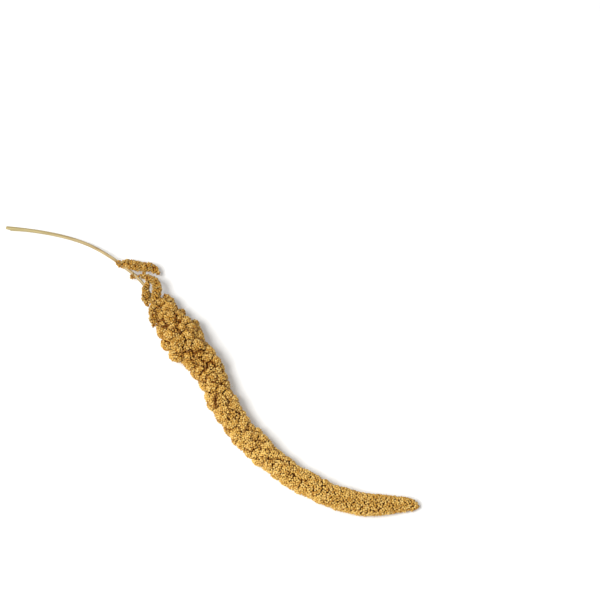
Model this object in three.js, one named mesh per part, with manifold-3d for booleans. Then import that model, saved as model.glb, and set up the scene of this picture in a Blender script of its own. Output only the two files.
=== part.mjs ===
// A foxtail millet ear, cut with a length of its straw and laid on its side.
// Millimetres, +Z up. The table is z = 0 and the origin lies under the middle of the ear's box.
// Places along the ear are distances from the cut end of the straw, measured along its axis.

import * as THREE from "three";
import { mergeVertices } from "three/addons/utils/BufferGeometryUtils.js";
import Module from "manifold-3d";

const wasm = await Module();
wasm.setup();

// The axis: where the straw is cut, its heading over the table in degrees, and its height
const CUT_END = new THREE.Vector2(-123, 91.6);
const HEADINGS = [
  [0, -4.4], [40, -18.5], [62, -33.5], [75, -38.4], [90, -43.8], [104, -60.2], [116, -55.4],
  [132, -58.4], [147, -46.8], [160, -51.1], [172, -66], [190, -63.3], [215, -48.3], [250, -33.6],
  [285, -15.5], [303, 3.5], [325, -3.7],
];
const HEIGHTS = [
  [0, 1.45], [45, 3.6], [75, 6], [98, 7.2], [125, 8.8], [145, 10.6], [160, 9.5], [180, 8.2],
  [200, 7.5], [230, 7], [260, 6.4], [292, 5.9], [308, 4.7], [325, 2.6],
];
const AXIS_STEP = 0.5;

// The straw, and the rachis that it becomes inside the seed head
const STEM_END = 314;
const STEM_RADII = [[0, 1.4], [6, 1.2], [14, 1.05], [75, 0.95], [110, 0.9], [STEM_END, 0.35]];
const STEM_SIDES = 8;
const STEM_RING_SPACING = 5;
const TEAR_LENGTH = 3; // the straw's cut end is torn back this far on one side
const TEAR_SIDE = THREE.MathUtils.degToRad(205);
const TEAR_EDGE = [0.4, 0.56]; // cosines from the torn side between which the step back lies
const GAP = 0.3; // between the straw and the seeds that sit round it

// The seed head: its half-width with the seeds on, and how much flatter it lies than it is wide
const HEAD_START = 112;
const HEAD_END = 324;
const HALF_WIDTHS = [
  [110, 2.6], [118, 4.8], [126, 8], [134, 10.5], [140, 11.6], [147, 12.3], [153, 10.6], [160, 8.7],
  [170, 8.3], [186, 8.5], [200, 8], [228, 7.4], [246, 7], [276, 6.6], [294, 6.4], [305, 5.5],
  [312, 4.6], [318, 3.8], [322, 2.4], [324, 1],
];
const FLATNESS = 0.88;
const CORE_SHARE = 0.7; // the head is solid to this share of its half-width
// The head's mesh has two stretches, so that its seeds come out alike where it is wide and where it is
// slim. Their sides are multiples of three, so that the seeds close round the head.
const HEAD_STRETCHES = [
  { from: HEAD_START, to: 158, sides: 42 },
  { from: 156.5, to: HEAD_END, sides: 27 },
];
const ROW_SHARE = 1.12; // of the width of a side
const LEAST_ROW = 1.2;

// The lobes that the seeds stand in. They turn round the ear by the golden angle, each then moved a bit.
const LOBE_PITCHES = [[110, 7.6], [150, 7.4], [175, 6.8], [230, 6.2], [280, 5], [324, 3.6]];
// A lobe's radius over its pitch
const LOBE_FULLNESS = [[110, 0.62], [180, 0.66], [225, 0.7], [255, 0.85], [324, 1.1]];
const LOBE_WIDEST = 0.8; // a lobe's radius is at most this share of the head's half-width
const LOBE_HEIGHT_SCATTER = [
  [110, 0.4], [150, 0.36], [200, 0.32], [240, 0.22], [285, 0.08], [324, 0.05],
];
const LOBE_SIZE_SCATTER = 0.35;
const LOBE_PLACE_SCATTER = [[110, 0.85], [155, 0.75], [185, 0.45], [324, 0.45]]; // over the pitch
const GOLDEN_ANGLE = Math.PI * (3 - Math.sqrt(5));
const LOBE_STEP = 0.05;
const HEX_CELL = Math.sqrt(3) / 2; // area of a hexagonal cell for a pitch of one

// A seed's crown stands up by this share of the distance to the next point. The points round it sink as far.
const SEED_RISE = 0.36;

// Side branches near the neck: the route of each one's middle, and its half-width at root, middle and tip
const NECK_BRANCH = {
  route: [
    [-52.6, 65.7, 7.6], [-49.2, 65, 7.8], [-44.2, 63.6, 7.4], [-38.7, 63, 6.9], [-33.3, 62.5, 6.2],
    [-30.1, 61.1, 5.4], [-28.6, 58.8, 4.7],
  ],
  halfWidths: [2, 2.7, 2.2],
};
const NECK_TUFT = { route: [[-43.2, 57.6, 6.3], [-44.8, 56.4, 5.3]], halfWidths: [1.5, 1.4, 1.2] };
const FUSED_BRANCHES = [
  {
    route: [
      [-40.7, 55.9, 7.6], [-37.3, 56, 8.3], [-33.6, 54.2, 9.2], [-30.3, 51.8, 10], [-28.6, 48.6, 10.5],
      [-28.4, 44.9, 10.8], [-28.7, 40.3, 10.8], [-29.3, 35, 10.7], [-30, 30.5, 10.3],
      [-30.1, 26.3, 9.6], [-29.4, 22.7, 8.8],
    ],
    halfWidths: [1.7, 2.4, 2.8],
  },
  {
    route: [
      [-35.6, 49.9, 8.2], [-35.3, 46.5, 8.8], [-35.1, 42.5, 8.8], [-34.4, 39.4, 8.4], [-33.2, 36.7, 8],
    ],
    halfWidths: [1.6, 2.3, 2],
  },
  {
    route: [
      [-34.7, 53.2, 9.2], [-34.4, 50.3, 9], [-34.9, 46.8, 8.9],
    ],
    halfWidths: [1.3, 1.4, 1.4],
  },
  {
    route: [
      [-24.4, 43.9, 7.9], [-23, 41.8, 8.1], [-20.8, 38.7, 8.5], [-18.1, 32.5, 9], [-16.9, 28.7, 9],
    ],
    halfWidths: [2, 2.5, 2.6],
  },
  { route: [[-38.3, 56.8, 7.6], [-36.8, 58.3, 8]], halfWidths: [1.1, 1.1, 1] },
  { route: [[-16.3, 30.3, 9], [-12.6, 31.9, 8.5]], halfWidths: [2.2, 2.4, 2.4] },
  { route: [[-10.5, 21.5, 10], [-4.4, 24.3, 9.2]], halfWidths: [2.6, 2.9, 2.5] },
];
const BRANCH_SIDES = 12;
const BRANCH_SQUARENESS = 5; // a higher number keeps a branch full nearer to its ends
const BRANCH_END = 0.3; // its first and last rows lie this share of a row inside its ends
const LEAST_BRANCH_ROWS = 4;

const SEED_LOOK = { color: 0xbf9249, roughness: 0.6, metalness: 0 };
const STRAW_LOOK = { color: 0xc8b482, roughness: 0.55, metalness: 0 };

// A smooth value between stations: a cubic whose slope at each station comes from its neighbours.
function smooth(stations, at) {
  const last = stations.length - 1;
  const slope = (k) => {
    const before = stations[Math.max(k - 1, 0)];
    const after = stations[Math.min(k + 1, last)];
    return (after[1] - before[1]) / (after[0] - before[0]);
  };
  let k = 0;
  while (k < last - 1 && at > stations[k + 1][0]) k += 1;
  const [from, low] = stations[k];
  const [to, high] = stations[k + 1];
  const span = to - from;
  const t = THREE.MathUtils.clamp((at - from) / span, 0, 1);
  const rise = t * t * (3 - 2 * t);
  const leave = t * (1 - t) * (1 - t) * span * slope(k);
  const arrive = t * t * (t - 1) * span * slope(k + 1);
  return low + (high - low) * rise + leave + arrive;
}

// The same number from 0 to 1 each time, for item i's draw k
function scatter(i, k) {
  const value = Math.sin(i * 12.9898 + k * 78.233) * 43758.5453;
  return value - Math.floor(value);
}

const headingAt = (at) => THREE.MathUtils.degToRad(smooth(HEADINGS, at));

// The axis over the table, summed in short steps along its heading
function trackOver(length) {
  const points = [CUT_END];
  for (let at = 0; at < length; at += AXIS_STEP) {
    const heading = headingAt(at + AXIS_STEP / 2);
    const step = new THREE.Vector2(Math.cos(heading), Math.sin(heading)).multiplyScalar(AXIS_STEP);
    points.push(step.add(points.at(-1)));
  }
  return points;
}
const TRACK = trackOver(HEAD_END + 2);

function axisAt(at) {
  const steps = THREE.MathUtils.clamp(at / AXIS_STEP, 0, TRACK.length - 1.001);
  const k = Math.floor(steps);
  const point = TRACK[k].clone().lerp(TRACK[k + 1], steps - k);
  return new THREE.Vector3(point.x, point.y, smooth(HEIGHTS, at));
}

function aheadAt(at) {
  const heading = headingAt(at);
  return new THREE.Vector3(Math.cos(heading), Math.sin(heading), 0);
}

// A direction across the axis: angle 0 is level, to the left of the heading, and a quarter turn is up.
function across(at, angle, flatness) {
  const heading = headingAt(at);
  const left = new THREE.Vector3(-Math.sin(heading), Math.cos(heading), 0);
  const up = new THREE.Vector3(0, 0, flatness);
  return left.multiplyScalar(Math.cos(angle)).addScaledVector(up, Math.sin(angle));
}

// A closed tube with its points at place(ring, angle, crown). Angle is null at the middle of each end.
// Each ring is turned half a cell on from the last, so that the triangles come out even.
// Every third point is a seed's crown, with six faces round it.
function latticeTube(rings, sides, place) {
  const tube = new THREE.CylinderGeometry(1, 1, rings, sides, rings);
  const position = tube.attributes.position;
  for (let k = 0; k < position.count; k += 1) {
    const [x, z] = [position.getX(k), position.getZ(k)];
    const ring = Math.round(rings / 2 - position.getY(k));
    const column = Math.round((Math.atan2(x, z) / (2 * Math.PI)) * sides);
    const angle = Math.hypot(x, z) < 0.5 ? null : (-2 * Math.PI * (column + ring / 2)) / sides;
    const crown = (((column - ring) % 3) + 3) % 3 === 0;
    position.setXYZ(k, ...place(ring, angle, crown).toArray());
  }
  return tube;
}

const seedRise = (cell, crown) => cell * SEED_RISE * (crown ? 1 : -1);

function solidOf(geometry) {
  const plain = geometry.clone();
  plain.deleteAttribute("normal");
  plain.deleteAttribute("uv");
  const merged = mergeVertices(plain, 1e-4);
  return new wasm.Manifold(
    new wasm.Mesh({
      numProp: 3,
      vertProperties: new Float32Array(merged.attributes.position.array),
      triVerts: new Uint32Array(merged.index.array),
    }),
  );
}

// Joining rough surfaces can close off a crumb between them, which is dropped.
function largestBody(solid) {
  return solid.decompose().reduce((largest, body) => (body.volume() > largest.volume() ? body : largest));
}

function meshOf(name, solid, look) {
  const { vertProperties, triVerts } = solid.getMesh();
  const geometry = new THREE.BufferGeometry();
  geometry.setAttribute("position", new THREE.BufferAttribute(vertProperties, 3));
  geometry.setIndex(new THREE.BufferAttribute(triVerts, 1));
  geometry.computeVertexNormals();
  const mesh = new THREE.Mesh(geometry, new THREE.MeshStandardMaterial(look));
  mesh.name = name;
  return mesh;
}

// The straw and rachis, or the clear space round them when extra is the gap
function stemSolid(extra) {
  const rings = Math.round(STEM_END / STEM_RING_SPACING);
  const tube = latticeTube(rings, STEM_SIDES, (ring, angle) => {
    const along = (STEM_END * ring) / rings;
    const end = ring === 0 ? -extra : ring === rings ? extra : 0;
    if (angle === null) return axisAt(along).addScaledVector(aheadAt(along), end);
    const torn = THREE.MathUtils.smoothstep(Math.cos(angle - TEAR_SIDE), ...TEAR_EDGE);
    const at = ring === 0 && extra === 0 ? TEAR_LENGTH * torn : along;
    const radius = smooth(STEM_RADII, at) + extra;
    return axisAt(at).addScaledVector(across(at, angle, 1), radius).addScaledVector(aheadAt(at), end);
  });
  return solidOf(tube);
}

// The lobes, one after another up the ear, as many as cover it at their pitch
function lobeList() {
  const lobes = [];
  let due = 0;
  for (let at = HEAD_START; at < HEAD_END; at += LOBE_STEP) {
    const halfWidth = smooth(HALF_WIDTHS, at);
    const pitch = smooth(LOBE_PITCHES, at);
    due += (2 * Math.PI * halfWidth * LOBE_STEP) / (HEX_CELL * pitch * pitch);
    if (due < 1) continue;
    due -= 1;
    const i = lobes.length;
    const shift = smooth(LOBE_PLACE_SCATTER, at) * pitch;
    const place = at + shift * (scatter(i, 4) - 0.5);
    const angle = i * GOLDEN_ANGLE + (shift / halfWidth) * (scatter(i, 1) - 0.5);
    const full = pitch * smooth(LOBE_FULLNESS, at) * (1 + LOBE_SIZE_SCATTER * (scatter(i, 2) - 0.5));
    const radius = Math.min(full, LOBE_WIDEST * halfWidth);
    const top = halfWidth * (1 + smooth(LOBE_HEIGHT_SCATTER, at) * (scatter(i, 3) - 0.5));
    const centre = axisAt(place).addScaledVector(across(place, angle, FLATNESS), top - radius);
    lobes.push({ centre, radius });
  }
  return lobes;
}

// How far the lobes reach from a point of the axis in one direction
function reachOf(lobes, start, out, least) {
  let reach = least;
  for (const { centre, radius } of lobes) {
    const to = centre.clone().sub(start);
    const along = to.dot(out);
    const inside = radius * radius - to.lengthSq() + along * along;
    if (inside > 0) reach = Math.max(reach, along + Math.sqrt(inside));
  }
  return reach;
}

// Rows of mesh points along a stretch of the head, closer where it is thinner
function headRows({ from, to, sides }) {
  const rows = [from];
  const cell = (2 * Math.PI) / sides;
  while (rows.at(-1) < to) {
    const spacing = smooth(HALF_WIDTHS, rows.at(-1)) * cell * ROW_SHARE;
    rows.push(rows.at(-1) + Math.max(spacing, LEAST_ROW));
  }
  rows[rows.length - 1] = to;
  return rows;
}

// A stretch of the head: lobes over a core, with seeds raised on them. It is pressed flat where it lies.
function headSolid(lobes, stretch) {
  const rows = headRows(stretch);
  const tube = latticeTube(rows.length - 1, stretch.sides, (ring, angle, crown) => {
    const at = rows[ring];
    const start = axisAt(at);
    if (angle === null) return start;
    const halfWidth = smooth(HALF_WIDTHS, at);
    const spread = across(at, angle, FLATNESS);
    const out = spread.clone().normalize();
    const core = CORE_SHARE * halfWidth * spread.length();
    const cell = (2 * Math.PI * halfWidth) / stretch.sides;
    const reach = reachOf(lobes, start, out, core) + seedRise(cell, crown);
    const point = start.clone().addScaledVector(out, reach);
    point.z = Math.max(point.z, 0);
    return point;
  });
  return solidOf(tube);
}

// A side branch: a finger of seeds along its route
function branchSolid({ route, halfWidths }) {
  const points = route.map((point) => new THREE.Vector3(...point));
  const curve = new THREE.CatmullRomCurve3(points, false, "catmullrom", 0.5);
  const [root, middle, tip] = halfWidths;
  const cell = (2 * Math.PI * middle) / BRANCH_SIDES;
  const rings = Math.max(LEAST_BRANCH_ROWS, Math.round(curve.getLength() / (cell * HEX_CELL)));
  const up = new THREE.Vector3(0, 0, 1);
  const tube = latticeTube(rings, BRANCH_SIDES, (ring, angle, crown) => {
    const share = (ring + BRANCH_END) / (rings + 2 * BRANCH_END);
    if (angle === null) return curve.getPointAt(ring === 0 ? 0 : 1);
    const ahead = curve.getTangentAt(share);
    const left = up.clone().cross(ahead).normalize();
    const top = ahead.clone().cross(left);
    const round = Math.sqrt(1 - Math.abs(2 * share - 1) ** BRANCH_SQUARENESS);
    const halfWidth = smooth([[0, root], [0.5, middle], [1, tip]], share);
    const radius = halfWidth * round + seedRise(cell, crown);
    return curve
      .getPointAt(share)
      .addScaledVector(left, radius * Math.cos(angle))
      .addScaledVector(top, radius * Math.sin(angle));
  });
  return solidOf(tube);
}

const stemRoom = stemSolid(GAP);
const headLobes = lobeList();
const headPieces = HEAD_STRETCHES.map((stretch) => headSolid(headLobes, stretch));
const joinedHead = wasm.Manifold.union([...headPieces, ...FUSED_BRANCHES.map(branchSolid)]);
const seedHead = largestBody(joinedHead.subtract(stemRoom));
const neckBranch = branchSolid(NECK_BRANCH).subtract(stemRoom);
const neckTuft = branchSolid(NECK_TUFT).subtract(stemRoom);

const ear = new THREE.Group();
ear.add(meshOf("stem", stemSolid(0), STRAW_LOOK));
ear.add(meshOf("seed_head", seedHead, SEED_LOOK));
ear.add(meshOf("neck_branch", neckBranch, SEED_LOOK));
ear.add(meshOf("neck_tuft", neckTuft, SEED_LOOK));

export default ear;
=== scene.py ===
"""A ripe foxtail millet ear with a length of its straw, cut and dried, lying on a pale table."""

import math
from collections import namedtuple

import bpy
import numpy as np
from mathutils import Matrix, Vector


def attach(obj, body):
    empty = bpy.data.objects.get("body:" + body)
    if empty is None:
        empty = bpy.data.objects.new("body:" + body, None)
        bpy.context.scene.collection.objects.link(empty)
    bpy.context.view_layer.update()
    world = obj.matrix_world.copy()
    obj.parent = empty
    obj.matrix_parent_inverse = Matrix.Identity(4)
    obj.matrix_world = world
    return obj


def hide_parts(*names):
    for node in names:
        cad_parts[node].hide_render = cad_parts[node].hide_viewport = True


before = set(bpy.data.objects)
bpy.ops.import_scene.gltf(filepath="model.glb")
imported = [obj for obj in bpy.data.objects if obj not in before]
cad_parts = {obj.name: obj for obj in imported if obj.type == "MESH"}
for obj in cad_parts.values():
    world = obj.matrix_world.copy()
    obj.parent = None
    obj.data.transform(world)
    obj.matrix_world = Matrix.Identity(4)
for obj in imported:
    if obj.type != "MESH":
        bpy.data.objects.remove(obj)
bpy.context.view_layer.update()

# Straw and rachis. One grown stalk: a thin ribbed straw, hollow and torn where it was cut off, that goes on
# inside the head as the rachis, thinning towards the tip. Dry, pale, a little green near the cut.
# Lengths are in millimetres, and places along the ear are distances from the cut end.
MM = 0.001
CUT_END = (-123, 91.6)
HEADINGS = [  # in degrees over the table
    (0, -4.4), (40, -18.5), (62, -33.5), (75, -38.4), (90, -43.8), (104, -60.2), (116, -55.4),
    (132, -58.4), (147, -46.8), (160, -51.1), (172, -66), (190, -63.3), (215, -48.3), (250, -33.6),
    (285, -15.5), (303, 3.5), (325, -3.7),
]
HEIGHTS = [
    (0, 1.45), (45, 3.6), (75, 6), (98, 7.2), (125, 8.8), (145, 10.6), (160, 9.5), (180, 8.2), (200, 7.5),
    (230, 7), (260, 6.4), (292, 5.9), (308, 4.7), (325, 2.6),
]
AXIS_END = 326
AXIS_STEP = 0.5
STEM_END = 314
STEM_POINT = 0.3  # past the last ring
STEM_RADII = [(0, 1.4), (6, 1.2), (14, 1.05), (75, 0.95), (110, 0.9), (STEM_END, 0.35)]
STEM_RINGS = [(0, 12, 30), (12.6, STEM_END, 420)]  # runs of rings: from, to, and how many
HOLLOW_RINGS = [(1.6, 0.45), (0, 0.72)]  # inside the cut end: how deep, and the share of the radius
HOLLOW_DEPTH = 2  # where the hollow is closed
RIB_COUNT = 13
RIB_SIDES = 3
RIB_DEPTH = 0.03
RIB_FADE = (90, 130)  # the ribs die away from the first place to the second
TEAR_LENGTH = 3
TEAR_SIDE = math.radians(205)
TEAR_EDGE = (0.4, 0.56)  # cosines from the torn side between which the step back lies
TEAR_FIBRES = [(0.25, 7, 1), (0.2, 11, 2)]  # waves of ragged fibre: depth, number round the straw, and turn
TEAR_FADE = 8  # rings this far in stand square again
STRAW_BROWN = (136, 112, 72)
STRAW_PALE = (182, 162, 118)
STRAW_GREEN = (158, 148, 96)
STRAW_FLECK = (112, 78, 42)
STRAW_SHINE = {"Specular IOR Level": 0.3}
BUMP_STRENGTH = 0.6  # of the fine relief on every dry surface
MAP_MARGIN = 0.1  # at each edge of a tube's cell on its baking map


def smooth(stations, at):
    """A cubic through stations (place, value), with the slope at each station taken from its neighbours."""
    place, value = np.array(stations, float).T
    before = np.maximum(np.arange(len(place)) - 1, 0)
    after = np.minimum(np.arange(len(place)) + 1, len(place) - 1)
    slope = (value[after] - value[before]) / (place[after] - place[before])
    k = np.clip(np.searchsorted(place, at) - 1, 0, len(place) - 2)
    span = place[k + 1] - place[k]
    t = np.clip((at - place[k]) / span, 0, 1)
    rise = (value[k + 1] - value[k]) * t * t * (3 - 2 * t)
    return value[k] + rise + span * (slope[k] * t * (1 - t) ** 2 + slope[k + 1] * t * t * (t - 1))


def turned(angle):
    """Unit steps in the plane at an angle: its cosine and sine."""
    return np.stack([np.cos(angle), np.sin(angle)], -1)


def round_angles(sides):
    """Even angles round a full turn."""
    return np.arange(sides) * (2 * np.pi / sides)


axis_places = np.arange(0, AXIS_END, AXIS_STEP)
axis_steps = AXIS_STEP * turned(np.radians(smooth(HEADINGS, axis_places + AXIS_STEP / 2)))
axis_track = np.array(CUT_END) + np.cumsum(np.vstack([[0, 0], axis_steps]), axis=0)
axis_places = np.append(axis_places, AXIS_END)


def axis_at(at):
    """The axis's point at a distance from the cut end: its headings summed in short steps, at its height."""
    level = [np.interp(at, axis_places, column) for column in axis_track.T]
    return np.stack([*level, smooth(HEIGHTS, at)], -1)


def across(at, angle, flatness=1.0):
    """A direction across the axis: level and to its left at angle 0, upright at a quarter turn, and there as
    long as flatness."""
    left = turned(np.radians(smooth(HEADINGS, at)) + np.pi / 2) * np.cos(angle)[..., None]
    return np.concatenate([left, flatness * np.sin(angle)[..., None]], -1)


def baking_map(tubes, rings, sides):
    """A flat place for each face corner of many tubes: a square cell for each tube, with its sides across the
    cell, its rings up it, and its ends at the bottom and the top."""
    ring, side = np.divmod(np.arange((rings - 1) * sides), sides)
    quads = np.stack([
        np.stack([side, side + 1, side + 1, side], -1) / sides,
        (np.stack([ring, ring, ring + 1, ring + 1], -1) + 1) / (rings + 1),
    ], -1)
    turn = np.arange(sides) / sides
    start = np.stack([turn + 0.5 / sides, turn + 1 / sides, turn], -1)
    close = np.stack([turn + 0.5 / sides, turn, turn + 1 / sides], -1)
    low = np.tile([0, 1 / (rings + 1), 1 / (rings + 1)], (sides, 1))
    high = np.tile([1, rings / (rings + 1), rings / (rings + 1)], (sides, 1))
    fans = np.concatenate([np.stack([start, low], -1), np.stack([close, high], -1)])
    cells = math.ceil(math.sqrt(tubes))
    cell = np.stack(np.divmod(np.arange(tubes), cells), -1)[:, None, None] + MAP_MARGIN
    return np.concatenate([
        ((cell + (1 - 2 * MAP_MARGIN) * part) / cells).reshape(-1, 2) for part in (quads, fans)
    ])


def tubes_piece(name, skin, ends, material, **marks):
    """A piece made of closed tubes. skin[tube, ring, side] are the points round each tube, anticlockwise seen
    from its far end, and ends[tube, 0 or 1] close it. A mark has a number for each point of a tube, ring by
    ring, then for its two ends. Many tubes also get a map of their own to bake on."""
    tubes, rings, sides = skin.shape[:3]
    point = np.arange(rings * sides).reshape(rings, sides)
    beside = np.roll(point, -1, axis=1)
    quads = np.stack([point[:-1], beside[:-1], beside[1:], point[1:]], -1).reshape(-1, 4)
    start = np.stack([np.full(sides, rings * sides), beside[0], point[0]], -1)
    close = np.stack([np.full(sides, rings * sides + 1), point[-1], beside[-1]], -1)
    fans = np.concatenate([start, close])
    first = (rings * sides + 2) * np.arange(tubes)[:, None, None]
    faces = (first + quads).reshape(-1, 4).tolist() + (first + fans).reshape(-1, 3).tolist()
    places = np.concatenate([skin.reshape(tubes, -1, 3), ends], 1)
    mesh = bpy.data.meshes.new(name)
    mesh.from_pydata((places.reshape(-1, 3) * MM).tolist(), [], faces)
    mesh.shade_smooth()
    for mark, values in marks.items():
        layer = mesh.attributes.new(mark, "FLOAT", "POINT")
        layer.data.foreach_set("value", np.ascontiguousarray(values, np.float32).ravel())
    if tubes > 1:
        layer = mesh.uv_layers.new(name="OFBake")
        layer.data.foreach_set("uv", baking_map(tubes, rings, sides).astype(np.float32).ravel())
    mesh.materials.append(material)
    piece = bpy.data.objects.new(name, mesh)
    bpy.context.scene.collection.objects.link(piece)
    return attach(piece, "root")


class Wire:
    """A shader socket to reckon with: each operator adds a Math node, and node() any other kind."""

    def __init__(self, tree, socket=None):
        self.tree = tree
        self.socket = socket

    def node(self, kind, settings, inputs, output=0):
        """Adds a node: first its settings, then its sockets by name or number. Gives one of its outputs."""
        added = self.tree.nodes.new(kind)
        for name, value in settings.items():
            setattr(added, name, value)
        for name, value in inputs.items():
            if isinstance(value, Wire):
                self.tree.links.new(value.socket, added.inputs[name])
            else:
                added.inputs[name].default_value = value
        return Wire(self.tree, added.outputs[output] if len(added.outputs) else None)

    def math(self, operation, *values):
        """An operation on values, each a number or a wire."""
        return self.node("ShaderNodeMath", {"operation": operation}, dict(enumerate(values)))

    def __add__(self, other):
        return self.math("ADD", self, other)

    def __sub__(self, other):
        return self.math("SUBTRACT", self, other)

    def __rsub__(self, other):
        return self.math("SUBTRACT", other, self)

    def __mul__(self, other):
        return self.math("MULTIPLY", self, other)

    __radd__ = __add__
    __rmul__ = __mul__

    def between(self, low, high):
        """0 where this is at low or less, 1 at high or more, and smooth between them."""
        settings = {"interpolation_type": "SMOOTHSTEP"}
        return self.node("ShaderNodeMapRange", settings, {"Value": self, "From Min": low, "From Max": high})

    def mark(self, name):
        """The number that the mesh holds for each point under this name."""
        return self.node("ShaderNodeAttribute", {"attribute_name": name}, {}, "Fac")

    def place(self):
        """The point's own place in the piece, in metres."""
        return self.node("ShaderNodeTexCoord", {}, {}, "Object")

    def vector(self, x, y, z):
        """Three numbers as one place."""
        return self.node("ShaderNodeCombineXYZ", {}, {0: x, 1: y, 2: z})

    def noise(self, at, scale, detail):
        """Cloudy noise from 0 to 1, about one over scale across, at a place."""
        return self.node("ShaderNodeTexNoise", {}, {"Vector": at, "Scale": scale, "Detail": detail})

    def mix(self, share, low, high):
        """A colour that goes from low to high with share. Each is a wire, or a colour as seen, 0 to 255."""
        low, high = (colour if isinstance(colour, Wire) else linear(colour) for colour in (low, high))
        return self.node("ShaderNodeMix", {"data_type": "RGBA"}, {0: share, 6: low, 7: high}, 2)


def linear(colour):
    """A colour as seen, 0 to 255, as the light that it reflects: a power curve, straight where it is dark."""
    seen = np.array(colour) / 255
    return (*np.where(seen < 0.04045, seen / 12.92, ((seen + 0.055) / 1.055) ** 2.4), 1.0)


def dry_surface(name, paint, **shine):
    """A material of one Principled shader. paint(wire) gives its colour, roughness and height in metres."""
    material = bpy.data.materials.new(name)
    material.use_nodes = True
    tree = material.node_tree
    tree.nodes.clear()
    wire = Wire(tree)
    colour, roughness, height = paint(wire)
    normal = wire.node("ShaderNodeBump", {}, {"Strength": BUMP_STRENGTH, "Distance": 1.0, "Height": height})
    inputs = {"Base Color": colour, "Roughness": roughness, "Normal": normal, **shine}
    shader = wire.node("ShaderNodeBsdfPrincipled", {}, inputs)
    wire.node("ShaderNodeOutputMaterial", {}, {"Surface": shader})
    return material


def straw_paint(wire):
    """Long streaks of pale and darker straw, with a green cast near the cut and brown flecks."""
    lengthwise = wire.mark("lengthwise")
    round_x, round_y = wire.mark("round_x"), wire.mark("round_y")
    streak = wire.noise(wire.vector(round_x, round_y, lengthwise * 0.05), 2.6, 4.0)
    fleck = wire.noise(wire.vector(round_x, round_y, lengthwise * 0.35), 1.7, 3.0)
    colour = wire.mix(streak.between(0.3, 0.7), STRAW_BROWN, STRAW_PALE)
    colour = wire.mix((1 - lengthwise.between(0, 70)) * 0.5, colour, STRAW_GREEN)
    colour = wire.mix(fleck.between(0.64, 0.78) * 0.55, colour, STRAW_FLECK)
    return colour, streak * 0.2 + 0.4, streak * 0.00006


def tear(angle):
    """How far the straw is torn back at its cut end: a smooth step on one side, and waves of ragged fibre."""
    low, high = TEAR_EDGE
    step = np.clip((np.cos(angle - TEAR_SIDE) - low) / (high - low), 0, 1)
    ragged = sum(depth * np.sin(number * angle + turn) for depth, number, turn in TEAR_FIBRES)
    return TEAR_LENGTH * step ** 2 * (3 - 2 * step) + ragged


hollow_places, hollow_widths = np.array(HOLLOW_RINGS).T
wall_places = np.concatenate([np.linspace(*run) for run in STEM_RINGS])
straw_places = np.append(hollow_places, wall_places)[:, None]
straw_width = np.append(hollow_widths, np.ones(len(wall_places)))[:, None]
straw_angle = round_angles(RIB_SIDES * RIB_COUNT)
straw_at = straw_places + tear(straw_angle) * np.maximum(0, 1 - straw_places / TEAR_FADE)
rib_fade = np.clip((RIB_FADE[1] - straw_at) / np.ptp(RIB_FADE), 0, 1)
straw_ribs = RIB_DEPTH * np.cos(RIB_COUNT * straw_angle) * rib_fade
straw_radius = straw_width * (smooth(STEM_RADII, straw_at) + straw_ribs)
straw_turn = straw_angle + np.zeros_like(straw_at)
straw_skin = axis_at(straw_at) + straw_radius[..., None] * across(straw_at, straw_turn)
straw = tubes_piece(
    "straw", straw_skin[None], axis_at(np.array([HOLLOW_DEPTH, STEM_END + STEM_POINT]))[None],
    dry_surface("dry straw", straw_paint, **STRAW_SHINE),
    lengthwise=np.append(straw_at, [HOLLOW_DEPTH, STEM_END]),
    round_x=np.append(np.cos(straw_turn), [0, 0]),
    round_y=np.append(np.sin(straw_turn), [0, 0]),
)
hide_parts("stem")

# Seed head. Hundreds of short clusters of seeds stand round the rachis and press together into lobes, looser
# and larger near the neck, tighter and smaller towards the tip, with a few longer branches lying on it at the
# neck. The seeds are ripe, dry and golden, in satin husks.
HEAD_START = 112
HEAD_END = 324
HALF_WIDTHS = [
    (110, 2.6), (118, 4.8), (126, 8), (134, 10.5), (140, 11.6), (147, 12.3), (153, 10.6), (160, 8.7),
    (170, 8.3), (186, 8.5), (200, 8), (228, 7.4), (246, 7), (276, 6.6), (294, 6.4), (305, 5.5), (312, 4.6),
    (318, 3.8), (322, 2.4), (324, 1),
]
FLATNESS = 0.88  # how high the head is for its width
LOBE_PITCHES = [(110, 7.6), (150, 7.4), (175, 6.8), (230, 6.2), (280, 5), (324, 3.6)]
LOBE_FULLNESS = [(110, 0.62), (180, 0.66), (225, 0.7), (255, 0.85), (324, 1.1)]  # radius over pitch
LOBE_WIDEST = 0.8  # a lobe's radius is at most this share of the head's half-width
LOBE_HEIGHT_SCATTER = [(110, 0.4), (150, 0.36), (200, 0.32), (240, 0.22), (285, 0.08), (324, 0.05)]
LOBE_SIZE_SCATTER = 0.35
LOBE_PLACE_SCATTER = [(110, 0.85), (155, 0.75), (185, 0.45), (324, 0.45)]  # over the pitch
LOBE_STEP = 0.05  # along the axis, to count how many lobes are due
HEX_CELL = math.sqrt(3) / 2  # area of a hexagonal cell for a pitch of one
GOLDEN_ANGLE = math.pi * (3 - math.sqrt(5))
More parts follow.
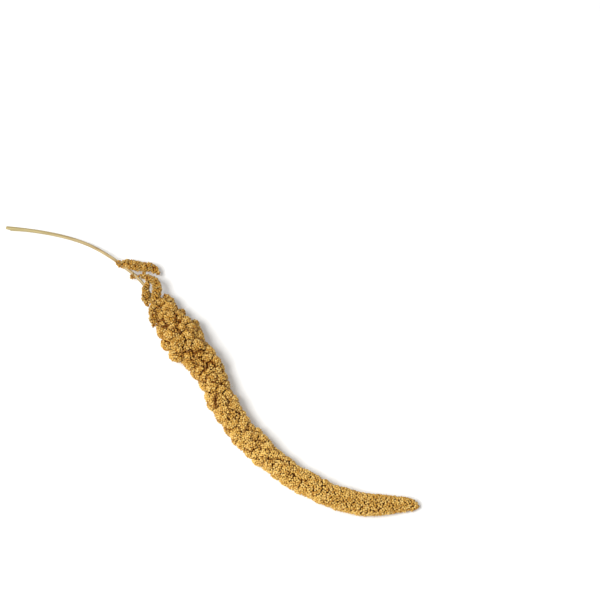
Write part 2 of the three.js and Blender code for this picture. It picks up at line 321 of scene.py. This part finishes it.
FUSED_BRANCHES = [  # the route of each one's middle, and its half-width at root, middle and tip
    ([
        (-40.7, 55.9, 7.6), (-37.3, 56, 8.3), (-33.6, 54.2, 9.2), (-30.3, 51.8, 10), (-28.6, 48.6, 10.5),
        (-28.4, 44.9, 10.8), (-28.7, 40.3, 10.8), (-29.3, 35, 10.7), (-30, 30.5, 10.3), (-30.1, 26.3, 9.6),
        (-29.4, 22.7, 8.8),
    ], (1.7, 2.4, 2.8)),
    ([
        (-35.6, 49.9, 8.2), (-35.3, 46.5, 8.8), (-35.1, 42.5, 8.8), (-34.4, 39.4, 8.4), (-33.2, 36.7, 8),
    ], (1.6, 2.3, 2)),
    ([(-34.7, 53.2, 9.2), (-34.4, 50.3, 9), (-34.9, 46.8, 8.9)], (1.3, 1.4, 1.4)),
    ([
        (-24.4, 43.9, 7.9), (-23, 41.8, 8.1), (-20.8, 38.7, 8.5), (-18.1, 32.5, 9), (-16.9, 28.7, 9),
    ], (2, 2.5, 2.6)),
    ([(-38.3, 56.8, 7.6), (-36.8, 58.3, 8)], (1.1, 1.1, 1)),
    ([(-16.3, 30.3, 9), (-12.6, 31.9, 8.5)], (2.2, 2.4, 2.4)),
    ([(-10.5, 21.5, 10), (-4.4, 24.3, 9.2)], (2.6, 2.9, 2.5)),
]
BRANCH_SQUARENESS = 5  # a higher number keeps a branch full nearer to its ends
BRANCH_LOBE_PITCH = 0.8  # over the branch's middle half-width
BRANCH_PLACE_SCATTER = 0.5
BRANCH_LOBE_SIZES = (0.9, 1.15)  # over the branch's half-width
BRANCH_DRAWS = 100  # a branch's draws start at its length times this
ROUTE_FINENESS = 60  # points of the curve for each point of its route
SHARE_STEP = 0.02  # along a route, to find which way it heads
SEED_PITCH = 1.36
SEED_SIZE = (1.7, 1.4, 1.28)  # length, width and thickness
SEED_SIZES = (0.9, 1.12)  # the smallest and the largest seed over SEED_SIZE
SEED_PROFILE = [(0.1, 0.5), (0.36, 0.96), (0.66, 0.94), (0.9, 0.52)]  # place along the seed, and girth
SEED_SIDES = 8
SEED_SINK = 0.35  # a seed's middle lies this far inside its lobe's ball
SEED_STAGGER = 0.4  # how far its draws move it, and how far they lean its tip
SEED_LEAN = 0.9
SEED_ROLL = (0.1, 0.2, 0.3)  # keeps a seed's wide side from lying along its tip
SEED_ROOM = 0.98  # the least distance between seeds
THINNING_BATCH = 500  # seeds set against all the others at a time
# How far outside the next lobe's ball a seed's middle has to be, along the head and on a branch.
CREASES = [(110, -0.1), (160, -0.12), (200, -0.18), (230, -0.35), (250, -0.6), (275, -0.85), (324, -0.95)]
BRANCH_CREASE = -0.9
# Painted shade: seeds this near a crease are darkened, more the nearer they are.
CREASE_SHADE = 1.1  # seeds within this of it are darker
LOBE_SLANT = (0.3, 0.5, 0.81)  # any direction that no lobe's top points in
RIPENESS = [(110, -0.26), (124, -0.04), (170, 0.12), (235, 0.28), (285, 0.18), (324, 0.1)]
SEED_TONE = 0.55  # how much a seed's own draw, and its lobe's, add to its ripeness
LOBE_TONE = 0.15
HUSK_DEEP_GOLD = (162, 113, 30)
HUSK_PALE_GOLD = (228, 191, 106)
HUSK_BUFF = (216, 186, 118)
HUSK_RUSSET = (152, 92, 28)
HUSK_DULL = (146, 127, 78)
HUSK_TIP = (140, 90, 30)
# Partly the browner base of a seed, partly painted shade down in the gaps between seeds.
HUSK_FOOT_AND_PAINTED_SHADE = (138, 73, 0)
# Painted shade in the creases between the lobes.
PAINTED_CREASE_SHADE = (98, 44, 0)
HUSK_SHINE = {"Specular IOR Level": 0.2, "Specular Tint": (1.0, 0.72, 0.32, 1.0)}
HEAD_PIECES = [
    ("seeds_base", 0, 140), ("seeds_middle", 140, 172), ("seeds_waist", 172, 220), ("seeds_upper", 220, 270),
    ("seeds_tip", 270, 330),
]
Lobes = namedtuple("Lobes", "centre radius top at crease")
Seeds = namedtuple("Seeds", "point tip wide tone deep at")


def scatter(i, k):
    """The same number from 0 to 1 each time, for item i's draw k: the far digits of a large sine."""
    value = np.sin(i * 12.9898 + k * 78.233) * 43758.5453
    return value - np.floor(value)


def shake(i, *draws):
    """A small vector for each item, each part from -0.5 to 0.5 by one of its draws."""
    return np.stack([scatter(i, k) for k in draws], -1) - 0.5


def unit(vectors):
    """Vectors at a length of one."""
    return vectors / np.maximum(np.linalg.norm(vectors, axis=-1, keepdims=True), 1e-9)


def head_lobes():
    """Lobes as many as cover the head at their pitch, each a golden angle on from the last and then moved by
    its draws. A lobe is a ball whose top lies near the head's half-width."""
    at = np.arange(HEAD_START, HEAD_END, LOBE_STEP)
    cell = HEX_CELL * smooth(LOBE_PITCHES, at) ** 2
    due = np.cumsum(2 * np.pi * smooth(HALF_WIDTHS, at) * LOBE_STEP / cell)
    at = at[np.flatnonzero(np.diff(np.floor(due), prepend=0) > 0)]
    i = np.arange(len(at))
    half_width = smooth(HALF_WIDTHS, at)
    pitch = smooth(LOBE_PITCHES, at)
    shift = smooth(LOBE_PLACE_SCATTER, at) * pitch
    place = at + shift * (scatter(i, 4) - 0.5)
    angle = i * GOLDEN_ANGLE + shift / half_width * (scatter(i, 1) - 0.5)
    full = pitch * smooth(LOBE_FULLNESS, at) * (1 + LOBE_SIZE_SCATTER * (scatter(i, 2) - 0.5))
    radius = np.minimum(full, LOBE_WIDEST * half_width)
    top = half_width * (1 + smooth(LOBE_HEIGHT_SCATTER, at) * (scatter(i, 3) - 0.5))
    out = across(place, angle, FLATNESS)
    centre = axis_at(place) + out * (top - radius)[:, None]
    return Lobes(centre, radius, unit(out), at, smooth(CREASES, at))


def on_route(route, share):
    """Points at shares of the length of the smooth curve through a route's points, and that length."""
    fine = np.linspace(0, len(route) - 1, ROUTE_FINENESS * len(route))
    curve = np.stack([smooth(list(enumerate(column)), fine) for column in zip(*route)], -1)
    length = np.append(0, np.cumsum(np.linalg.norm(np.diff(curve, axis=0), axis=1)))
    return np.stack([np.interp(share * length[-1], length, column) for column in curve.T], -1), length[-1]


def along_route(route, share):
    """Which way a route heads at shares of its length."""
    return unit(on_route(route, share + SHARE_STEP)[0] - on_route(route, share - SHARE_STEP)[0])


def branch_width(half_widths, share):
    """A branch's half-width at shares of its length: smooth from root to tip, rounded off at both ends."""
    round_end = np.sqrt(1 - np.abs(2 * share - 1) ** BRANCH_SQUARENESS)
    return smooth(list(zip((0, 0.5, 1), half_widths)), share) * round_end


def branch_lobes(route, half_widths):
    """A side branch as a chain of small lobes along its route."""
    length = on_route(route, np.zeros(1))[1]
    count = max(2, round(length / (BRANCH_LOBE_PITCH * half_widths[1])))
    share = (np.arange(count) + 0.5) / count
    draw = np.arange(count) + round(BRANCH_DRAWS * length)
    centre = on_route(route, share)[0] + BRANCH_PLACE_SCATTER * shake(draw, 1, 2, 3)
    size = BRANCH_LOBE_SIZES[0] + np.ptp(BRANCH_LOBE_SIZES) * scatter(draw, 4)
    limits = np.tile([[HEAD_START], [BRANCH_CREASE]], count)
    return Lobes(centre, branch_width(half_widths, share) * size, along_route(route, share), *limits)


def together(groups):
    """Several groups of lobes as one."""
    return Lobes(*(np.concatenate(part) for part in zip(*groups)))


def clearance(points, own, lobes):
    """How far each point is outside the nearest lobe other than its own."""
    nearest = np.full(len(points), np.inf)
    for k, (centre, radius) in enumerate(zip(lobes.centre, lobes.radius)):
        gap = np.linalg.norm(points - centre, axis=1) - radius
        nearest = np.minimum(nearest, np.where(own == k, np.inf, gap))
    return nearest


def thinned(points, clear):
    """Which points stay: the clearest of each crowd, and then all that have their room from those."""
    squares = np.sum(points ** 2, axis=1)
    crowded = []
    for part in np.array_split(np.arange(len(points)), 1 + len(points) // THINNING_BATCH):
        gap = squares[part, None] + squares - 2 * points[part] @ points.T
        mine, other = np.nonzero((gap < SEED_ROOM ** 2) & (clear > clear[part, None]))
        crowded.append((part[mine], other))
    mine, other = np.concatenate(crowded, axis=1)
    stays = np.zeros(len(points), bool)
    waits = ~stays
    while waits.any():
        beaten = np.zeros_like(waits)
        beaten[mine[waits[other]]] = True
        chosen = waits & ~beaten
        stays |= chosen
        waits &= ~chosen
        waits[mine[chosen[other]]] = False
    return stays


def seeds_on(lobes):
    """Seeds spread evenly over lobes: down each ball from its top in level steps, each a golden angle on from
    the last. Those far down in the creases and those that would crowd are left out. Each stands with its tip
    out, then is moved and leant by its draws. Each also gets a share of painted shade, more the nearer it is
    to a crease."""
    count = np.round(4 * np.pi * lobes.radius ** 2 / (HEX_CELL * SEED_PITCH ** 2)).astype(int)
    own = np.repeat(np.arange(len(count)), count)
    k = np.arange(len(own)) - np.repeat(np.cumsum(count) - count, count)
    level = 1 - (2 * k + 1) / count[own]
    side = unit(np.cross(lobes.top, LOBE_SLANT))
    third = np.cross(lobes.top, side)
    ring = np.sqrt(1 - level ** 2)[:, None]
    spot = turned(k * GOLDEN_ANGLE + own)
    out = level[:, None] * lobes.top[own] + ring * (spot[:, :1] * side[own] + spot[:, 1:] * third[own])
    point = lobes.centre[own] + out * (lobes.radius[own] - SEED_SINK)[:, None]
    clear = clearance(point, own, lobes)
    kept = np.flatnonzero(clear > lobes.crease[own])
    kept = kept[thinned(point[kept], clear[kept])]
    own, out, point, clear = own[kept], out[kept], point[kept], clear[kept]
    draw = np.arange(len(own))
    moved = shake(draw, 1, 2, 3)
    tip = unit(out + SEED_LEAN * moved)
    wide = unit(np.cross(tip, moved + SEED_ROLL))
    tone = SEED_TONE * scatter(draw, 4) + LOBE_TONE * scatter(own, 5) + smooth(RIPENESS, lobes.at[own])
    # The share of painted shade that a seed gets for lying near a crease.
    deep = np.clip(1 - (clear - lobes.crease[own]) / CREASE_SHADE, 0, 1)
    return Seeds(point + SEED_STAGGER * moved, tip, wide, tone, deep, lobes.at[own])


def seed_piece(name, seeds, material, node):
    """One piece of many seeds. Each is an egg shape: rings of its profile round its long axis, a little
    flattened, lifted where it would go through the table."""
    draw = np.arange(len(seeds.point))
    size = (SEED_SIZES[0] + np.ptp(SEED_SIZES) * scatter(draw, 6))[:, None, None, None]
    along, girth = np.array(SEED_PROFILE).T
    length, width, thickness = SEED_SIZE
    spot = turned(round_angles(SEED_SIDES))
    flat = np.cross(seeds.tip, seeds.wide)
    lengthwise = length * (along - 0.5)[None, :, None, None] * seeds.tip[:, None, None]
    crosswise = (
        width / 2 * spot[None, None, :, :1] * seeds.wide[:, None, None]
        + thickness / 2 * spot[None, None, :, 1:] * flat[:, None, None]
    ) * girth[None, :, None, None]
    skin = seeds.point[:, None, None] + size * (lengthwise + crosswise)
    half_lengths = length * np.array([-0.5, 0.5])[None, :, None] * seeds.tip[:, None]
    ends = seeds.point[:, None] + size[:, :, 0] * half_lengths
    lift = np.maximum(0, -np.minimum(skin[..., 2].min((1, 2)), ends[..., 2].min(1)))
    skin[..., 2] += lift[:, None, None]
    ends[..., 2] += lift[:, None]
    points = len(along) * SEED_SIDES + 2
    piece = tubes_piece(
        name, skin, ends, material,
        tone=np.repeat(seeds.tone, points),
        deep=np.repeat(seeds.deep, points),
        reach=np.tile(np.append(np.repeat(along, SEED_SIDES), [0, 1]), len(draw)),
        hue=np.repeat(scatter(draw, 7), points),
    )
    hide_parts(node)


def seed_paint(wire):
    """Golden husks, each its own shade, some paler and some redder, duller at the neck, with a brown tip, a
    brown foot that is partly painted shade down in the gaps, and painted shade down in the creases."""
    tone, deep, reach, hue = (wire.mark(name) for name in ("tone", "deep", "reach", "hue"))
    mottle = wire.noise(wire.place(), 900, 2.0)
    shade = tone * 0.85 + mottle * 0.5 - 0.18
    colour = wire.mix(shade.between(0.05, 0.95), HUSK_DEEP_GOLD, HUSK_PALE_GOLD)
    colour = wire.mix(hue.between(0.5, 1) * 0.6, colour, HUSK_BUFF)
    colour = wire.mix((1 - hue.between(0, 0.45)) * 0.45, colour, HUSK_RUSSET)
    colour = wire.mix((1 - tone.between(-0.1, 0.3)) * 0.6, colour, HUSK_DULL)
    colour = wire.mix(reach.between(0.9, 1) * 0.5, colour, HUSK_TIP)
    # The dark foot of each seed: partly its own browner base, partly painted shade down in the gaps.
    colour = wire.mix((1 - reach.between(0.2, 0.65)) * 0.85, colour, HUSK_FOOT_AND_PAINTED_SHADE)
    # Painted shade: seeds near a crease darken towards the crease colour.
    colour = wire.mix(deep.between(0.45, 1) * 0.85, colour, PAINTED_CREASE_SHADE)
    return colour, mottle * 0.25 + 0.38, mottle * 0.00005


seed_husk = dry_surface("golden seed husks", seed_paint, **HUSK_SHINE)
own_lobes = head_lobes()
head_seeds = seeds_on(together([own_lobes, *(branch_lobes(*branch) for branch in FUSED_BRANCHES)]))
for name, low, high in HEAD_PIECES:
    held = (head_seeds.at >= low) & (head_seeds.at < high)
    seed_piece(name, Seeds(*(part[held] for part in head_seeds)), seed_husk, "seed_head")

# Bristles. Stiff hairs that grow on the stalks beside the seeds of foxtail millet, dry and pale as the straw.
# They stand a little way out between the seeds, slightly bent and thinner towards the tip.
BRISTLE_COUNT = 1100
BRISTLE_LENGTHS = (1.6, 3.0)
BRISTLE_RADIUS = 0.06
BRISTLE_TAPER = 0.8
BRISTLE_LEAN = 0.8
BRISTLE_BEND = 0.15  # sideways at the tip, over the length
BRISTLE_RINGS = 4
BRISTLE_SIDES = 3
BRISTLE_LAST_RING = 0.97  # over the length
TABLE_ROOM = 0.02  # the least height over the table
BRISTLE_BROWN = (150, 104, 40)
BRISTLE_PALE = (220, 190, 130)
BRISTLE_FOOT = (110, 66, 14)


def bristle_paint(wire):
    """Pale straw colour, each bristle its own shade and browner at the foot."""
    tone = wire.mark("tone")
    colour = wire.mix(tone, BRISTLE_BROWN, BRISTLE_PALE)
    colour = wire.mix((1 - wire.mark("reach")) * 0.7, colour, BRISTLE_FOOT)
    grain = wire.noise(wire.place(), 3000, 2.0)
    return colour, tone * 0.2 + 0.4, grain * 0.00001


bristle = np.arange(BRISTLE_COUNT)
beside = np.floor(scatter(bristle, 11) * len(head_seeds.point)).astype(int)
bristle_foot = head_seeds.point[beside]
bristle_shake = shake(bristle, 12, 13, 14)
bristle_way = unit(head_seeds.tip[beside] + BRISTLE_LEAN * bristle_shake)
bristle_side = unit(np.cross(bristle_way, bristle_shake))
bristle_third = np.cross(bristle_way, bristle_side)
bristle_length = (BRISTLE_LENGTHS[0] + np.ptp(BRISTLE_LENGTHS) * scatter(bristle, 15))[:, None, None]
bristle_share = np.linspace(0, BRISTLE_LAST_RING, BRISTLE_RINGS)[None, :, None]
bristle_bend = BRISTLE_BEND * bristle_share ** 2 * bristle_side[:, None]
bristle_line = bristle_foot[:, None] + bristle_length * (bristle_share * bristle_way[:, None] + bristle_bend)
bristle_spot = turned(round_angles(BRISTLE_SIDES))[None]
bristle_round = bristle_spot[..., :1] * bristle_side[:, None] + bristle_spot[..., 1:] * bristle_third[:, None]
bristle_radius = BRISTLE_RADIUS * (1 - BRISTLE_TAPER * bristle_share)[..., None]
bristle_skin = bristle_line[:, :, None] + bristle_radius * bristle_round[:, None]
bristle_tip = bristle_foot + bristle_length[:, 0] * (bristle_way + BRISTLE_BEND * bristle_side)
bristle_ends = np.stack([bristle_foot, bristle_tip], 1)
bristle_skin[..., 2] = np.maximum(bristle_skin[..., 2], TABLE_ROOM)
bristle_ends[..., 2] = np.maximum(bristle_ends[..., 2], TABLE_ROOM)
bristles = tubes_piece(
    "bristles", bristle_skin, bristle_ends, dry_surface("pale bristles", bristle_paint),
    tone=np.repeat(scatter(bristle, 16), BRISTLE_RINGS * BRISTLE_SIDES + 2),
    reach=np.tile(np.append(np.repeat(bristle_share, BRISTLE_SIDES), [0, 1]), BRISTLE_COUNT),
)
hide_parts("seed_head")

# Core of the head and of the branches on it. The stalks of the clusters and the feet of the seeds, grown
# close together round the rachis. They only show as dark brown in the creases between the seeds, a brown that
# is partly their own and partly painted shade for the depths there.
CORE_RUN = (HEAD_START, HEAD_END - 1)
CORE_ENDS = (HEAD_START + 0.5, HEAD_END - 0.5)
CORE_SHARE = 0.7  # the core fills this share of the half-width, and more below a lobe
CORE_SINK = 1.8  # below the lobes
CORE_ROWS = 330
CORE_SIDES = 60
LEAST_CORE = 0.3
CORE_TABLE_ROOM = 0.4
BRANCH_CORE_RUN = (0.01, 0.99)  # shares of the branch's length
BRANCH_CORE_SINK = 0.9
BRANCH_CORE_ROWS = 40
BRANCH_CORE_SIDES = 12
LEAST_BRANCH_CORE = 0.25
# Partly the stalks' own brown, partly painted shade for the shaded depths between the seeds.
FEET_DARK_AND_PAINTED_SHADE = (70, 32, 0)
FEET_BROWN_AND_PAINTED_SHADE = (118, 60, 0)
FEET_SHINE = {"Specular IOR Level": 0.1}


def core_paint(wire):
    """Dark brown fibres, rough and matt, their darkness partly painted shade for the depths between the
    seeds.
    """
    fibre = wire.noise(wire.place(), 700, 3.0)
    colour = wire.mix(fibre.between(0.3, 0.7), FEET_DARK_AND_PAINTED_SHADE, FEET_BROWN_AND_PAINTED_SHADE)
    return colour, fibre * 0.2 + 0.7, fibre * 0.0002


core_at = np.linspace(*CORE_RUN, CORE_ROWS)[:, None] + np.zeros(CORE_SIDES)
core_start = axis_at(core_at)
core_spread = across(core_at, round_angles(CORE_SIDES) + np.zeros_like(core_at), FLATNESS)
core_out = unit(core_spread)
core_reach = CORE_SHARE * smooth(HALF_WIDTHS, core_at) * np.linalg.norm(core_spread, axis=-1)
for centre, radius in zip(own_lobes.centre, own_lobes.radius):
    to = centre - core_start
    along = np.sum(to * core_out, -1)
    inside = radius ** 2 - np.sum(to * to, -1) + along ** 2
    lobe_reach = np.where(inside > 0, along + np.sqrt(np.maximum(inside, 0)), 0)
    core_reach = np.maximum(core_reach, lobe_reach)
core_skin = core_start + core_out * np.maximum(core_reach - CORE_SINK, LEAST_CORE)[..., None]
core_skin[..., 2] = np.maximum(core_skin[..., 2], CORE_TABLE_ROOM)
feet_with_painted_shade = dry_surface("stalks and seed feet in painted shade", core_paint, **FEET_SHINE)
core_ends = axis_at(np.array(CORE_ENDS))
core = tubes_piece("head_core", core_skin[None], core_ends[None], feet_with_painted_shade)
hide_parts("seed_head")


def branch_cores(name, branches, node):
    """The stalks in the middle of branches: round tubes along their routes, sunk below the seeds."""
    share = np.linspace(*BRANCH_CORE_RUN, BRANCH_CORE_ROWS)
    spot = turned(round_angles(BRANCH_CORE_SIDES))[None]
    skins, ends = [], []
    for route, half_widths in branches:
        ahead = along_route(route, share)
        left = unit(np.cross([0, 0, 1], ahead))
        out = spot[..., :1] * left[:, None] + spot[..., 1:] * np.cross(ahead, left)[:, None]
        radius = np.maximum(branch_width(half_widths, share) - BRANCH_CORE_SINK, LEAST_BRANCH_CORE)
        skins.append(on_route(route, share)[0][:, None] + out * radius[:, None, None])
        ends.append(on_route(route, np.array([0, 1]))[0])
    piece = tubes_piece(name, np.stack(skins), np.stack(ends), feet_with_painted_shade)
    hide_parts(node)


branch_cores("fused_branch_cores", FUSED_BRANCHES, "seed_head")

# Neck branch and tuft. Two side branches of the same seeds that grew apart from the head: a finger that
# leaves the neck towards the back, with its foot wrapped round the straw, and a small tuft on its other side.
NECK_BRANCH = ([
    (-52.6, 65.7, 7.6), (-49.2, 65, 7.8), (-44.2, 63.6, 7.4), (-38.7, 63, 6.9), (-33.3, 62.5, 6.2),
    (-30.1, 61.1, 5.4), (-28.6, 58.8, 4.7),
], (2, 2.7, 2.2))
NECK_FOOT = ([(-53.9, 66.6, 6.3), (-49.7, 63.2, 6.5)], (1.3, 1.8, 1.5))
NECK_TUFT = ([(-43.2, 57.6, 6.3), (-44.8, 56.4, 5.3)], (1.5, 1.4, 1.2))
NECK_PIECES = [
    ("neck_branch_seeds", [NECK_BRANCH, NECK_FOOT], "neck_branch"),
    ("neck_tuft_seeds", [NECK_TUFT], "neck_tuft"),
]
for name, branches, node in NECK_PIECES:
    neck_lobes = together([branch_lobes(*branch) for branch in branches])
    seed_piece(name, seeds_on(neck_lobes), seed_husk, node)
branch_cores("neck_branch_core", [NECK_BRANCH], "neck_branch")
branch_cores("neck_tuft_core", [NECK_TUFT], "neck_tuft")

# Table, light and camera. A plain pale table top that the ear lies on, in soft daylight from a window at the
# left and front, with a weak reflector behind. The camera looks down from the near side.
TABLE_SIZE = 8  # in metres, as are the places of the lamps and the camera
TABLE_COLOUR = (0.86, 0.86, 0.85, 1)
TABLE_ROUGHNESS = 0.8
DAYLIGHT = 0.5
AIM = np.array([0.0566, 0.044, 0.0])
CAMERA_RISE = math.radians(65)
CAMERA_DISTANCE = 1.0
LENS_LENGTH = 100  # in millimetres, as is its sensor
LENS_SENSOR = 36
LAMPS = [  # name, place from the aim point, size and power
    ("window", (-0.55, -0.4, 1.0), 0.6, 17),
    ("reflector", (0.5, 0.3, 1.2), 1.0, 2),
]

bpy.ops.mesh.primitive_plane_add(size=TABLE_SIZE)
floor = bpy.context.object
floor.name = "table"
floor_look = bpy.data.materials.new("pale table")
floor_look.use_nodes = True
floor_shader = floor_look.node_tree.nodes["Principled BSDF"]
floor_shader.inputs["Base Color"].default_value = TABLE_COLOUR
floor_shader.inputs["Roughness"].default_value = TABLE_ROUGHNESS
floor.data.materials.append(floor_look)

world = bpy.data.worlds.new("daylight")
world.use_nodes = True
world.node_tree.nodes["Background"].inputs["Color"].default_value = (1, 1, 1, 1)
world.node_tree.nodes["Background"].inputs["Strength"].default_value = DAYLIGHT
bpy.context.scene.world = world

# Each lamp is a square panel that faces the aim point.
for name, place, size, power in LAMPS:
    lamp = bpy.data.lights.new(name, "AREA")
    lamp.size = size
    lamp.energy = power
    holder = bpy.data.objects.new(name, lamp)
    bpy.context.scene.collection.objects.link(holder)
    holder.location = AIM + place
    holder.rotation_euler = (Vector(AIM) - holder.location).to_track_quat("-Z", "Y").to_euler()

lens = bpy.data.cameras.new("camera")
lens.lens = LENS_LENGTH
lens.sensor_width = LENS_SENSOR
camera = bpy.data.objects.new("camera", lens)
bpy.context.scene.collection.objects.link(camera)
camera.location = AIM + CAMERA_DISTANCE * np.array([0, -math.cos(CAMERA_RISE), math.sin(CAMERA_RISE)])
camera.rotation_euler = (math.pi / 2 - CAMERA_RISE, 0, 0)
bpy.context.scene.camera = camera
bpy.context.scene.view_settings.view_transform = "Standard"
